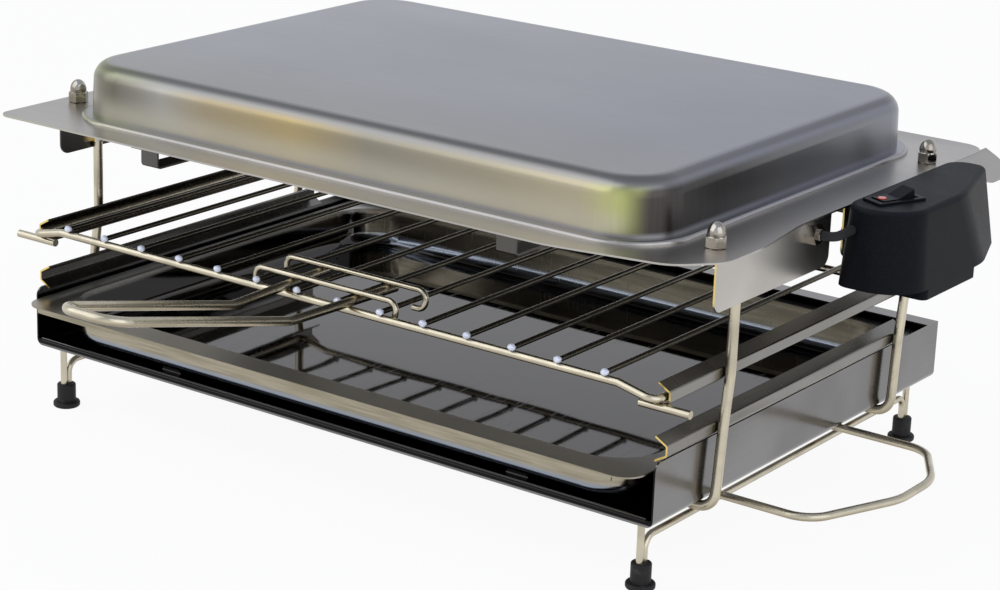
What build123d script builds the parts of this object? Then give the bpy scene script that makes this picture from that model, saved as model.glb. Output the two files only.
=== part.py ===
from build123d import *

import os
from math import cos, radians, sin, tan

# Electric fish roaster: a stamped hood with a heating element, held on two bent wire
# frames over a sliding wire rack with a clip-on handle and a sliding drip tray.
# X runs across the width with the control box on +X, Y runs back from the handle, and
# Z runs up from the floor. Lengths are millimetres. Every place below is measured from
# the middle of the base on the floor; the model's origin is the middle of its whole
# length and depth, on the floor.

os.makedirs("parts", exist_ok=True)

# Fits
running_gap = 0.3
seat_gap = 0.1
bolt_play = 0.4

# Base housing
base_width = 424
base_depth = 300
base_bottom = 38
base_height = 34.3
base_sheet = 1
base_bend = 4
front_corner = 5
shelf_depth = 11
rib_height = 4
rib_width = 14
rib_pitch = 240
rib_end = 14
rib_angle = 60
lip_roll = 2.2

# Wire frames that carry the rails and the hood
frame_wire = 5.5
post_half = 217.5
post_back = 93
cross_front = 101
cross_back = 86
post_kink = 4
frame_bend = 9
kink_bend = 40

# Feet
foot_pitch_x = 400
foot_pitch_y = 278
leg_wire = 3.8
runner_height = 27
runner_bend = 7
foot_flange = 15.5
foot_flange_height = 3.4
foot_body = 10.8
foot_height = 14
foot_sole = 5
foot_round = 1
foot_flange_round = 1.2

# Wire loop on the right side
loop_wire = 4.4
loop_front = 83
loop_back = 45
loop_root = 165
loop_shoulder = 262
loop_reach = 286.5
loop_bends = [18, 40, 34, 18]

# Rails
rail_sheet = 1
rail_web = 214.6
rail_lip = 7
rail_web_height = 5.6
rail_flare = 4
rail_bend = 1.6
upper_rail = 105.8
lower_rail = 77.8
rail_front = 144.3
rail_back = 101

# Sliding rack
rack_wire = 4.4
rack_half = 210.5
rack_front = 152
rack_back = 86
rack_side_level = 105.3
rack_bar_level = 110
crank_run = 21.5
rack_crank = rack_half - crank_run
rack_bend = 6
rod_wire = 3
rod_pitch = 28
rod_count = 14
rod_overhang = 2.5
stop_inner = 199
stop_reach = 228

# Rack handle
grip_wire = 5
grip_end = 326
grip_rise = 30.5
grip_bend_y = 198
grip_back = 117
grip_half_back = 23.5
grip_half_bend = 19.5
grip_half_end = 18
grip_corner = 13
clip_wire = 3.3
clip_front = 147.5
clip_back = 122
hook_radius = 5.1
hook_tip = 8.2
hook_room = 0.6
hook_straight = 0.4
grip_bend = 30

# Drip tray
tray_sheet = 0.8
tray_width = 391
tray_front = 147
tray_back = 132
tray_top = 67
tray_corner = 28
tray_draft = 6
tray_bottom_round = 9
tray_rim_half = 208
tray_rim_front = 165
tray_rim_back = 141
tray_rim_corner = 12
tray_lip = 3

# Hood
hood_sheet = 1
hood_level = 175
dome_width = 388
dome_depth = 280
dome_height = 32
dome_corner = 32
dome_draft = 2
dome_round = 10
step_width = 6
step_height = 2.4
step_round = 1.9
flange_left = 227
flange_right = 226
flange_front = 163.5
flange_back = 165
lobe_reach = 233
ear_overhang = 20
ear_reach = flange_right + ear_overhang
ear_slant = 8
ear_back_step = 3
ear_overlap = 1
lobe_start = 150
lobe_corner = 214
lobe_cut = 12
lobe_rise = 34
lobe_back = 97
lobe_end = 48
ear_front = 128
ear_droop = 25
flange_corners = [
    (-flange_left, -flange_front),
    (lobe_start, -flange_front),
    (lobe_corner, -flange_front + lobe_cut),
    (lobe_reach, -flange_front + lobe_rise),
    (lobe_reach, -lobe_back),
    (flange_right, -lobe_end),
    (flange_right, flange_back),
    (-flange_left, flange_back),
]
flange_radii = [8, 60, 24, 18, 40, 60, 14, 14]
ear_radii = [0, 10, 18, 0]

# End plates under the hood flange
plate_sheet = 1
plate_wall = 221.5
plate_bottom = 143.8
plate_tab = 16.5
plate_bend = 2
plate_outer = 120
plate_inner = 7
plate_round = 6
clip_low = 148
clip_high = 169
clip_sheet = 1
clip_foot = 8

# Bolts and acorn nuts
bolt_x = 215
bolt_y = 111
bolt_size = 6
bolt_head = 8.8
bolt_head_height = 3
nut_flats = 10
nut_base = 6
nut_cap = 9.4
nut_height = 13
bolt_above = 8
nut_bore = 9

# Heating element
element_tube = 6.5
element_level = 165.5
element_left = 165
element_right = 190
element_inner_right = 150
element_outer_y = 100
element_inner_y = 38
terminal_y = 28
element_end = 219
element_bend = 16
ferrule_size = 6
ferrule_end = 228.5
ferrule_nut = 5
pin_size = 2.4
pin_end = 233
support_x = 120
support_width = 12
support_sheet = 1.2
support_half = 152
support_foot = 9
support_bend = 1.6

# Control box
box_flat = 227.3
box_top = 178
box_bottom = 135
box_crown = [(box_flat, -9), (266.3, -9), (266.3, 55), (248, 117.5), (box_flat, 117.5)]
box_crown_radii = [15, 23, 60, 7, 12]
box_foot = [(box_flat, -11), (268.5, -11), (268.5, 80), (253, 123.5), (box_flat, 123.5)]
box_foot_radii = [8, 24, 50, 9, 14]
box_wall = 2.2
box_edge = 3
lid_sheet = 2.5
lid_gap = 0.9
block_inner = 231
block_width = 33
block_outer = block_inner + block_width
block_near = 22
block_far = 82
block_height = 9
block_corner = 4
fixing_y = (16, 72)
fixing_z = 158
screw_size = 4
screw_head = 8
screw_head_height = 2.4
screw_round = 1
box_nut_flats = 7
nut_thickness = 3
spacer_size = 8
lid_screw_y = (10, 94)
lid_screw_x = 243
lid_screw_size = 3
lid_screw_head = 5.6
lid_screw_head_height = 1.6
lid_screw_length = 8

# Rocker switch
switch_x = 244.25
switch_y = 17.4
switch_turn = 23
switch_length = 31
switch_width = 15
switch_rim = 1.4
switch_rim_corner = 1.2
switch_rim_round = 0.6
opening_length = 24.4
opening_width = 10.4
switch_body_wall = 0.9
switch_depth = 13
pivot_depth = 3
rocker_half = 10.2
rocker_waist = 9.6
rocker_vertex = 3.6
rocker_tilt = 12
rocker_width = 9.8
rocker_belly = 5.5
pivot_pin = 2
lens_size = 4.6
lens_height = 0.5
lens_place = 7.4
lens_round = 0.3

# Wiring inside the box
sleeve_size = 5
sleeve_x = 235
sleeve_bend = 5.5
sleeve_back = 2
lead_size = 2.2
lead_turn = 4.4
lead_levels = (152, 156)
lead_bends = [2.2, 6, 4]
strip_length = 34
strip_width = 11
strip_height = 9
strip_x = 246
strip_y = 56
strip_pitch = 10
strip_screw = 3.4
strip_corner = 1.5
strip_recess = 1
bush_flange = 14
bush_neck = 10
bush_bore = 7.6
bush_y = 70
bush_lip = 2.2
bush_round = 0.8

# Rear bumpers
bumper_width = 8
bumper_depth = 5
bumper_low = 40
bumper_high = 61
bumper_corner = 3
bumper_round = 1.5

base_top = base_bottom + base_height
floor_top = base_bottom + base_sheet
base_half = base_width / 2
base_back = base_depth / 2
tray_bottom = floor_top + rib_height + running_gap
cross_level = base_bottom - seat_gap - frame_wire / 2
loop_level = base_bottom - seat_gap - loop_wire / 2
stop_level = rack_side_level - rack_wire / 2 - rack_wire / 2
stop_y = rail_front + running_gap + rack_wire / 2
rod_level = rack_bar_level + rack_wire / 2 + rod_wire / 2
grip_level = rack_bar_level + rack_wire / 2 + running_gap + grip_wire / 2
clip_level = grip_level + grip_wire / 2 + clip_wire / 2
grip_top = grip_level + grip_rise
bolt_hole = bolt_size + bolt_play
dome_under = hood_level - hood_sheet
post_top = dome_under - plate_bend
support_level = element_level - element_tube / 2 - seat_gap

# The model's origin is the middle of its whole length and depth
mid_x = (loop_reach - stop_reach) / 2
mid_y = (flange_back - grip_end - grip_wire / 2) / 2


def level(z):
    """Horizontal plane at height z, centred on the base."""
    return Plane(origin=(-mid_x, -mid_y, z), x_dir=(1, 0, 0), z_dir=(0, 0, 1))


def facing(y):
    """Upright plane at depth y that looks to the front; its own axes are X and Z."""
    return Plane(origin=(-mid_x, y - mid_y, 0), x_dir=(1, 0, 0), z_dir=(0, -1, 0))


def across(x):
    """Upright plane at place x that looks to the right; its own axes are Y and Z."""
    return Plane(origin=(x - mid_x, -mid_y, 0), x_dir=(0, 1, 0), z_dir=(1, 0, 0))


def at(x, y, z):
    """Point in the model from a place measured on the base."""
    return Vector(x - mid_x, y - mid_y, z)


def sheet_profile(points, radius, thickness, side):
    """Face of bent sheet metal whose one skin follows the points."""
    with BuildLine() as skin:
        FilletPolyline(*points, radius=radius)
        offset(amount=thickness, side=side)
    make_face(skin.edges())


def outline(points, radii):
    """Closed face with straight sides, each corner rounded by its own radius."""
    with BuildSketch() as face:
        with BuildLine():
            Polyline(*points, close=True)
        make_face()
        for point, radius in zip(points, radii):
            if radius:
                fillet(face.vertices().sort_by_distance(point)[0], radius=radius)
    add(face.sketch_local)


def wire(points, radii, size, close=False):
    """Round wire along straight runs joined by tangent bends."""
    with BuildLine() as run:
        FilletPolyline(*[at(*point) for point in points], radius=radii, close=close)
    path = run.wire()
    with BuildSketch(Plane(origin=path @ 0, z_dir=path % 0)) as section:
        Circle(size / 2)
    sweep(sections=section.sketch, path=path)


def keep(piece, name):
    """Name a finished piece and write it."""
    piece.part.label = name
    export_step(piece.part, f"parts/{name}.step")


# Base housing: bent floor and sides, open at the front above a low rolled lip
base_corners = [
    (-base_half, base_top),
    (-base_half, base_bottom),
    (base_half, base_bottom),
    (base_half, base_top),
]
lip_top = tray_bottom - running_gap

with BuildPart() as base_housing:
    with BuildSketch(facing(base_back)):
        sheet_profile(base_corners, base_bend, base_sheet, Side.LEFT)
    extrude(amount=base_depth)
    with BuildSketch(facing(base_back)):
        outline(base_corners, [0, base_bend, base_bend, 0])
    extrude(amount=base_sheet)
    with BuildSketch(facing(base_sheet - base_back)):
        outline(base_corners, [0, base_bend, base_bend, 0])
    extrude(amount=base_sheet)
    with BuildSketch(facing(base_sheet - base_back)):
        with Locations((0, lip_top - lip_roll / 2)):
            Rectangle(
                base_width - 2 * base_sheet, base_height, align=(Align.CENTER, Align.MIN)
            )
    extrude(amount=base_sheet, mode=Mode.SUBTRACT)
    with BuildSketch(across(base_bend - base_half)):
        with Locations((base_sheet / 2 + seat_gap - base_back, lip_top - lip_roll / 2)):
            Circle(lip_roll / 2)
    extrude(amount=base_width - 2 * base_bend)
    with BuildSketch(level(base_top - base_sheet)):
        with Locations((0, base_back - shelf_depth / 2)):
            Rectangle(base_width - base_sheet, shelf_depth)
    extrude(amount=base_sheet)
    with BuildSketch(facing(base_back - rib_end)):
        with Locations((-rib_pitch / 2, floor_top), (rib_pitch / 2, floor_top)):
            Trapezoid(rib_width, rib_height, rib_angle, align=(Align.CENTER, Align.MIN))
    extrude(amount=base_depth - 2 * rib_end)
    with BuildSketch(facing(base_back - rib_end - base_sheet)):
        with Locations((-rib_pitch / 2, base_bottom), (rib_pitch / 2, base_bottom)):
            Trapezoid(rib_width, rib_height, rib_angle, align=(Align.CENTER, Align.MIN))
    extrude(amount=base_depth - 2 * rib_end - 2 * base_sheet, mode=Mode.SUBTRACT)
    wall_ends = base_housing.edges().filter_by(Axis.X).group_by(Axis.Z)[-1]
    fillet(wall_ends.group_by(Axis.Y)[0], radius=front_corner)
keep(base_housing, "base_housing")

# Rubber bumpers on the back wall
with BuildPart() as rear_bumpers:
    with BuildSketch(facing(base_back + bumper_depth)):
        for side in (-1, 1):
            bumper_x = side * (base_half - base_bend - bumper_width / 2)
            with Locations((bumper_x, (bumper_low + bumper_high) / 2)):
                RectangleRounded(bumper_width, bumper_high - bumper_low, bumper_corner)
    extrude(amount=bumper_depth)
    fillet(rear_bumpers.faces().group_by(Axis.Y)[-1].edges(), radius=bumper_round)
keep(rear_bumpers, "rear_bumpers")


# Wire frames: two posts and a cross run under the base, in one bent wire
def post_frame(top_y, middle_y, cross_y):
    """One bent frame; the posts lean from the rails down to the cross run."""
    right_side = [
        (post_half, cross_y, cross_level),
        (post_half, middle_y, lower_rail),
        (post_half, top_y, upper_rail),
        (post_half, top_y, post_top),
    ]
    left_side = [(-x, y, z) for x, y, z in reversed(right_side)]
    bends = [kink_bend, kink_bend, frame_bend, frame_bend, kink_bend, kink_bend]
    wire(left_side + right_side, bends, frame_wire)


with BuildPart() as front_frame:
    post_frame(-post_back, -post_back - post_kink, -cross_front)
keep(front_frame, "front_frame")

with BuildPart() as rear_frame:
    post_frame(post_back, post_back - post_kink, cross_back)
keep(rear_frame, "rear_frame")

# Feet: a bent runner and two upright legs on each side, held in rubber feet
runner_end = foot_pitch_y / 2 - leg_wire / 2
for name, side in (("left_foot_runner", -1), ("right_foot_runner", 1)):
    foot_x = side * foot_pitch_x / 2
    with BuildPart() as runner:
        wire(
            [
                (foot_x, -runner_end, foot_sole),
                (foot_x, -runner_end, runner_height),
                (foot_x, runner_end, runner_height),
                (foot_x, runner_end, foot_sole),
            ],
            runner_bend,
            leg_wire,
        )
    keep(runner, name)

with BuildPart() as leg_wires:
    with BuildSketch(level(foot_sole)):
        with GridLocations(foot_pitch_x, foot_pitch_y + leg_wire, 2, 2):
            Circle(leg_wire / 2)
    extrude(amount=base_bottom - foot_sole)
keep(leg_wires, "leg_wires")

with BuildPart() as rubber_feet:
    with BuildSketch(level(0)):
        with GridLocations(foot_pitch_x, foot_pitch_y, 2, 2):
            Circle(foot_flange / 2)
    extrude(amount=foot_flange_height)
    with BuildSketch(level(foot_flange_height)):
        with GridLocations(foot_pitch_x, foot_pitch_y, 2, 2):
            Circle(foot_body / 2)
    extrude(amount=foot_height - foot_flange_height)
    fillet(rubber_feet.edges().filter_by(GeomType.CIRCLE).group_by(Axis.Z)[-1], radius=foot_round)
    shoulder = rubber_feet.edges().filter_by(GeomType.CIRCLE).group_by(SortBy.RADIUS)[-1]
    fillet(shoulder, radius=foot_flange_round)
    with BuildSketch(level(foot_sole)):
        with GridLocations(foot_pitch_x, foot_pitch_y, 2, 2):
            with Locations((0, -leg_wire / 2), (0, leg_wire / 2)):
                Circle(leg_wire / 2 + seat_gap / 2)
    extrude(amount=foot_height, mode=Mode.SUBTRACT)
keep(rubber_feet, "rubber_feet")

# Wire loop that stands out on the right, welded under the floor
with BuildPart() as side_loop:
    wire(
        [
            (loop_root, -loop_front, loop_level),
            (loop_shoulder, -loop_front, loop_level),
            (loop_reach - loop_wire / 2, -loop_front / 3, loop_level),
            (loop_reach - loop_wire / 2, loop_back / 6, loop_level),
            (loop_shoulder, loop_back, loop_level),
            (loop_root, loop_back, loop_level),
        ],
        loop_bends,
        loop_wire,
    )
keep(side_loop, "side_loop")

# Rails: flared channels that open inwards, the same at both heights
for name, side, height in (
    ("upper_rail_left", -1, upper_rail),
    ("upper_rail_right", 1, upper_rail),
    ("lower_rail_left", -1, lower_rail),
    ("lower_rail_right", 1, lower_rail),
):
    web_half = rail_web_height / 2
    with BuildPart() as rail:
        with BuildSketch(facing(rail_back)):
            sheet_profile(
                [
                    (side * (rail_web - rail_lip), height + web_half + rail_flare),
                    (side * rail_web, height + web_half),
                    (side * rail_web, height - web_half),
                    (side * (rail_web - rail_lip), height - web_half - rail_flare),
                ],
                rail_bend,
                rail_sheet,
                Side.RIGHT if side > 0 else Side.LEFT,
            )
        extrude(amount=rail_back + rail_front)
    keep(rail, name)

# Rack: a closed loop whose sides run in the rails, cranked up to the cross bars
with BuildPart() as rack_frame:
    front_edge = [
        (-rack_half, -rack_front, rack_side_level),
        (-rack_crank, -rack_front, rack_bar_level),
        (rack_crank, -rack_front, rack_bar_level),
        (rack_half, -rack_front, rack_side_level),
    ]
    back_edge = [(x, rack_back, z) for x, y, z in reversed(front_edge)]
    wire(front_edge + back_edge, rack_bend, rack_wire, close=True)
keep(rack_frame, "rack_frame")

with BuildPart() as rack_rods:
    with BuildSketch(facing(rack_back + rod_overhang)):
        with Locations((0, rod_level)):
            with GridLocations(rod_pitch, 0, rod_count, 1):
                Circle(rod_wire / 2)
    extrude(amount=rack_back + rack_front + 2 * rod_overhang)
keep(rack_rods, "rack_rods")

with BuildPart() as rack_stops:
    with BuildSketch(across(-stop_reach)):
        with Locations((-stop_y, stop_level)):
            Circle(rack_wire / 2)
    extrude(amount=stop_reach - stop_inner)
    with BuildSketch(across(stop_inner)):
        with Locations((-stop_y, stop_level)):
            Circle(rack_wire / 2)
    extrude(amount=stop_reach - stop_inner)
keep(rack_stops, "rack_stops")

# Handle: a U of wire and two cross wires whose hooks reach round two rack rods
with BuildPart() as handle_grip:
    right_leg = [
        (grip_half_end, -grip_end, grip_top),
        (grip_half_bend, -grip_bend_y, grip_level),
        (grip_half_back, -grip_back, grip_level),
    ]
    left_leg = [(-x, y, z) for x, y, z in reversed(right_leg)]
    wire(left_leg + right_leg, [grip_bend, grip_corner, grip_corner, grip_bend], grip_wire)
keep(handle_grip, "handle_grip")

hook_half = 1.5 * rod_pitch + hook_radius + hook_room
hook_drop = 2 * hook_radius + hook_straight
with BuildPart() as handle_clips:
    for clip_y in (-clip_front, -clip_back):
        wire(
            [
                (hook_tip - hook_half, clip_y, clip_level - hook_drop),
                (-hook_half, clip_y, clip_level - hook_drop),
                (-hook_half, clip_y, clip_level),
                (hook_half, clip_y, clip_level),
                (hook_half, clip_y, clip_level - hook_drop),
                (hook_half - hook_tip, clip_y, clip_level - hook_drop),
            ],
            hook_radius,
            clip_wire,
        )
keep(handle_clips, "handle_clips")

# Drip tray: a drawn pan with a rim that runs past the base at the front
tray_depth = tray_top - tray_sheet - tray_bottom
tray_length = tray_front + tray_back
tray_middle = (tray_back - tray_front) / 2
rim_length = tray_rim_front + tray_rim_back

with BuildPart() as tray_hollow:
    with BuildSketch(level(tray_bottom + tray_sheet)):
        with Locations((0, tray_middle)):
            RectangleRounded(
                tray_width - 2 * tray_sheet, tray_length - 2 * tray_sheet, tray_corner - tray_sheet
            )
    extrude(amount=tray_depth + tray_sheet, taper=-tray_draft)
    floor_edges = tray_hollow.faces().sort_by(Axis.Z)[0].edges()
    fillet(floor_edges, radius=tray_bottom_round - tray_sheet)

with BuildPart() as drip_tray:
    with BuildSketch(level(tray_bottom)):
        with Locations((0, tray_middle)):
            RectangleRounded(tray_width, tray_length, tray_corner)
    extrude(amount=tray_depth + tray_sheet, taper=-tray_draft)
    fillet(drip_tray.faces().sort_by(Axis.Z)[0].edges(), radius=tray_bottom_round)
    with BuildSketch(level(tray_top - tray_sheet)):
        with Locations((0, (tray_rim_back - tray_rim_front) / 2)):
            RectangleRounded(2 * tray_rim_half, rim_length, tray_rim_corner)
    extrude(amount=tray_sheet)
    with BuildSketch(across(tray_rim_corner - tray_rim_half)):
        with Locations((-tray_rim_front, tray_top)):
            Rectangle(tray_sheet, tray_lip, align=(Align.MIN, Align.MAX))
    extrude(amount=2 * (tray_rim_half - tray_rim_corner))
    add(tray_hollow.part, mode=Mode.SUBTRACT)
keep(drip_tray, "drip_tray")


# Hood: a drawn dome on a rounded step, with a flange that bulges at its corners
def dome(inset, bottom, top):
    """Dome block inside the outer skin by inset."""
    with BuildPart() as block:
        with BuildSketch(level(bottom)):
            RectangleRounded(
                dome_width - 2 * inset, dome_depth - 2 * inset, dome_corner - inset
            )
        extrude(amount=top - bottom, taper=dome_draft)
        fillet(block.faces().sort_by(Axis.Z)[-1].edges(), radius=dome_round - inset)
    return block.part


def step(inset, bottom, top):
    """Rounded step round the dome's foot, inside its outer skin by inset."""
    with BuildPart() as block:
        with BuildSketch(level(bottom)):
            RectangleRounded(
                dome_width + 2 * (step_width - inset),
                dome_depth + 2 * (step_width - inset),
                dome_corner + step_width - inset,
            )
        extrude(amount=top - bottom)
        fillet(block.faces().sort_by(Axis.Z)[-1].edges(), radius=step_round)
    return block.part


with BuildPart() as hood:
    with BuildSketch(level(dome_under)):
        outline(flange_corners, flange_radii)
    extrude(amount=hood_sheet)
    ear_plane = Plane(
        origin=at(flange_right - ear_overlap, 0, hood_level),
        x_dir=(cos(radians(ear_droop)), 0, -sin(radians(ear_droop))),
        z_dir=(sin(radians(ear_droop)), 0, cos(radians(ear_droop))),
    )
    ear_width = (ear_reach - flange_right) / cos(radians(ear_droop)) + ear_overlap
    with BuildSketch(ear_plane):
        outline(
            [
                (0, ear_front - ear_slant),
                (ear_width, ear_front),
                (ear_width, flange_back - ear_back_step),
                (0, flange_back - ear_overlap),
            ],
            ear_radii,
        )
    extrude(amount=-hood_sheet)
    add(step(0, dome_under, hood_level + step_height))
    add(dome(0, dome_under, hood_level + dome_height))
    add(step(hood_sheet, dome_under, hood_level + step_height - hood_sheet), mode=Mode.SUBTRACT)
    add(dome(hood_sheet, dome_under, hood_level + dome_height - hood_sheet), mode=Mode.SUBTRACT)
    with BuildSketch(level(dome_under)):
        with GridLocations(2 * bolt_x, 2 * bolt_y, 2, 2):
            Circle(bolt_hole / 2)
    extrude(amount=hood_sheet, mode=Mode.SUBTRACT)
keep(hood, "hood")

# End plates: angles bolted under the flange that hide the tops of the posts
for name, side, end in (
    ("end_plate_front_left", -1, -1),
    ("end_plate_rear_left", -1, 1),
    ("end_plate_front_right", 1, -1),
    ("end_plate_rear_right", 1, 1),
):
    start = -plate_inner if end < 0 else plate_outer
    with BuildPart() as end_plate:
        with BuildSketch(facing(start)):
            sheet_profile(
                [
                    (side * plate_wall, plate_bottom),
                    (side * plate_wall, dome_under),
                    (side * (plate_wall - plate_tab), dome_under),
                ],
                plate_bend,
                plate_sheet,
                Side.LEFT if side > 0 else Side.RIGHT,
            )
        extrude(amount=plate_outer - plate_inner)
        low_corners = end_plate.edges().filter_by(Axis.X).group_by(Axis.Z)[0]
        fillet(low_corners, radius=plate_round)
        with BuildSketch(level(dome_under - plate_sheet)):
            with Locations((side * bolt_x, end * bolt_y)):
                Circle(bolt_hole / 2)
        extrude(amount=plate_sheet, mode=Mode.SUBTRACT)
        if side > 0:
            with BuildSketch(across(plate_wall)):
                with Locations((end * terminal_y, element_level)):
                    Circle(ferrule_size / 2 + seat_gap)
                if end > 0:
                    with Locations(*[(y, fixing_z) for y in fixing_y]):
                        Circle(screw_size / 2 + seat_gap)
            extrude(amount=-plate_sheet, mode=Mode.SUBTRACT)
    keep(end_plate, name)

# Straps that hold the posts against the end plates
strap_reach = plate_wall - plate_sheet - post_half
strap_outer = frame_wire / 2 + seat_gap + clip_sheet
with BuildPart() as post_straps:
    for side in (-1, 1):
        for end in (-1, 1):
            with BuildSketch(level(clip_low)):
                with Locations((side * post_half, end * post_back)):
                    Circle(strap_outer)
                    with Locations((side * strap_reach / 2, 0)):
                        Rectangle(strap_reach, 2 * strap_outer)
                    with Locations((side * (strap_reach - clip_sheet / 2), 0)):
                        Rectangle(clip_sheet, 2 * clip_foot)
                    Circle(strap_outer - clip_sheet, mode=Mode.SUBTRACT)
                    with Locations((side * strap_reach, 0)):
                        Rectangle(2 * strap_reach, 2 * (strap_outer - clip_sheet), mode=Mode.SUBTRACT)
            extrude(amount=clip_high - clip_low)
keep(post_straps, "post_straps")

# Bolts from below and acorn nuts on the flange
with BuildPart() as hood_bolts:
    with BuildSketch(level(dome_under - plate_sheet - bolt_head_height)):
        with GridLocations(2 * bolt_x, 2 * bolt_y, 2, 2):
            Circle(bolt_head / 2)
    extrude(amount=bolt_head_height)
    with BuildSketch(level(dome_under - plate_sheet)):
        with GridLocations(2 * bolt_x, 2 * bolt_y, 2, 2):
            Circle(bolt_size / 2)
    extrude(amount=plate_sheet + hood_sheet + bolt_above)
keep(hood_bolts, "hood_bolts")

with BuildPart() as acorn_nuts:
    with BuildSketch(level(hood_level)):
        with GridLocations(2 * bolt_x, 2 * bolt_y, 2, 2):
            RegularPolygon(nut_flats / 2, 6, major_radius=False)
    extrude(amount=nut_base)
    with BuildSketch(level(hood_level)):
        with GridLocations(2 * bolt_x, 2 * bolt_y, 2, 2):
            Circle(nut_cap / 2)
    extrude(amount=nut_height)
    rims = acorn_nuts.edges().filter_by(GeomType.CIRCLE).group_by(Axis.Z)[-1]
    fillet(rims, radius=nut_cap / 2 - seat_gap)
    with BuildSketch(level(hood_level)):
        with GridLocations(2 * bolt_x, 2 * bolt_y, 2, 2):
            Circle(bolt_size / 2 + seat_gap)
    extrude(amount=nut_bore, mode=Mode.SUBTRACT)
keep(acorn_nuts, "acorn_nuts")

# Heating element: one sheathed tube in four runs, both ends on the control box side
with BuildPart() as heating_element:
    front_half = [
        (element_end, -terminal_y, element_level),
        (element_right, -terminal_y, element_level),
        (element_right, -element_outer_y, element_level),
        (-element_left, -element_outer_y, element_level),
        (-element_left, -element_inner_y, element_level),
        (element_inner_right, -element_inner_y, element_level),
    ]
    back_half = [(x, -y, z) for x, y, z in reversed(front_half)]
    wire(front_half + back_half, element_bend, element_tube)
keep(heating_element, "heating_element")

# Hangers that carry the element under the hood
with BuildPart() as element_supports:
    with BuildSketch(across(-support_x - support_width / 2)) as hanger:
        sheet_profile(
            [
                (-support_half - support_foot, dome_under),
                (-support_half, dome_under),
                (-support_half, support_level),
                (support_half, support_level),
                (support_half, dome_under),
                (support_half + support_foot, dome_under),
            ],
            support_bend,
            support_sheet,
            Side.RIGHT,
        )
    extrude(amount=support_width)
    with BuildSketch(across(support_x - support_width / 2)):
        add(hanger.sketch_local)
    extrude(amount=support_width)
keep(element_supports, "element_supports")

# Ferrules, nuts and pins at the two ends of the element
with BuildPart() as element_ferrules:
    with BuildSketch(across(element_end)):
        with Locations((-terminal_y, element_level), (terminal_y, element_level)):
            Circle(ferrule_size / 2)
            Circle(pin_size / 2 + seat_gap / 2, mode=Mode.SUBTRACT)
    extrude(amount=ferrule_end - element_end)
keep(element_ferrules, "element_ferrules")

with BuildPart() as element_nuts:
    with BuildSketch(across(plate_wall)):
        with Locations((-terminal_y, element_level), (terminal_y, element_level)):
            RegularPolygon(nut_flats / 2, 6, major_radius=False)
            Circle(ferrule_size / 2 + seat_gap / 2, mode=Mode.SUBTRACT)
    extrude(amount=ferrule_nut)
keep(element_nuts, "element_nuts")

with BuildPart() as element_pins:
    with BuildSketch(across(element_end)):
        with Locations((-terminal_y, element_level), (terminal_y, element_level)):
            Circle(pin_size / 2)
    extrude(amount=pin_end - element_end)
keep(element_pins, "element_pins")


# Control box: a moulded cover that flares downwards, flat towards the hood
def cover_block(inset, top):
    """Cover block inside its outer skin by inset, up to height top."""
    with BuildPart() as block:
        with BuildSketch(level(box_bottom)) as foot_ring:
            outline(box_foot, box_foot_radii)
            if inset:
                offset(amount=-inset, mode=Mode.REPLACE)
        with BuildSketch(level(top)) as crown_ring:
            outline(box_crown, box_crown_radii)
            if inset:
                offset(amount=-inset, mode=Mode.REPLACE)
        loft(sections=[foot_ring.sketch, crown_ring.sketch])
        fillet(block.faces().sort_by(Axis.Z)[-1].edges(), radius=box_edge - inset)
    return block.part


switch_plane = Plane(
    origin=at(switch_x, switch_y, box_top),
    x_dir=(sin(radians(switch_turn)), cos(radians(switch_turn)), 0),
    z_dir=(0, 0, 1),
)
body_length = opening_length + 2 * switch_body_wall
body_width = opening_width + 2 * switch_body_wall

with BuildPart() as control_box:
    add(cover_block(0, box_top))
    add(cover_block(box_wall, box_top - box_wall), mode=Mode.SUBTRACT)
    with BuildSketch(switch_plane):
        Rectangle(body_length + 2 * seat_gap, body_width + 2 * seat_gap)
    extrude(amount=-box_wall, mode=Mode.SUBTRACT)
    with BuildSketch(across(box_flat)):
        with Locations((terminal_y, element_level)):
            Circle(ferrule_size / 2 + 2 * seat_gap)
        with Locations(*[(y, fixing_z) for y in fixing_y]):
            Circle(screw_size / 2 + seat_gap)
    extrude(amount=box_wall, mode=Mode.SUBTRACT)
    with BuildSketch(facing(0)):
        with Locations((sleeve_x, element_level)):
            Circle(sleeve_size / 2 + seat_gap)
    extrude(amount=terminal_y, mode=Mode.SUBTRACT)
keep(control_box, "control_box")

# Bottom lid of the box, with the raised well for the supply
block_middle = ((block_inner + block_outer) / 2, (block_near + block_far) / 2)
block_length = block_far - block_near
with BuildPart() as box_lid:
    with BuildSketch(level(box_bottom)):
        outline(box_foot, box_foot_radii)
        offset(amount=-box_wall - lid_gap, mode=Mode.REPLACE)
    extrude(amount=lid_sheet)
    with BuildSketch(level(box_bottom - block_height)):
        with Locations(block_middle):
            RectangleRounded(block_width, block_length, block_corner)
    extrude(amount=block_height)
    with BuildSketch(level(box_bottom - block_height + lid_sheet)):
        with Locations(block_middle):
            RectangleRounded(
                block_width - 2 * box_wall, block_length - 2 * box_wall, block_corner - box_wall
            )
    extrude(amount=block_height, mode=Mode.SUBTRACT)
    with BuildSketch(level(box_bottom - block_height)):
        with Locations((block_middle[0], bush_y)):
            Circle(bush_neck / 2 + seat_gap)
        for y in lid_screw_y:
            with Locations((lid_screw_x, y)):
                Circle(lid_screw_size / 2 + seat_gap)
    extrude(amount=block_height + lid_sheet, mode=Mode.SUBTRACT)
keep(box_lid, "box_lid")

with BuildPart() as lid_screws:
    for y in lid_screw_y:
        with BuildSketch(level(box_bottom)):
            with Locations((lid_screw_x, y)):
                Circle(lid_screw_head / 2)
        extrude(amount=-lid_screw_head_height)
        with BuildSketch(level(box_bottom)):
            with Locations((lid_screw_x, y)):
                Circle(lid_screw_size / 2)
        extrude(amount=lid_screw_length)
keep(lid_screws, "lid_screws")

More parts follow.
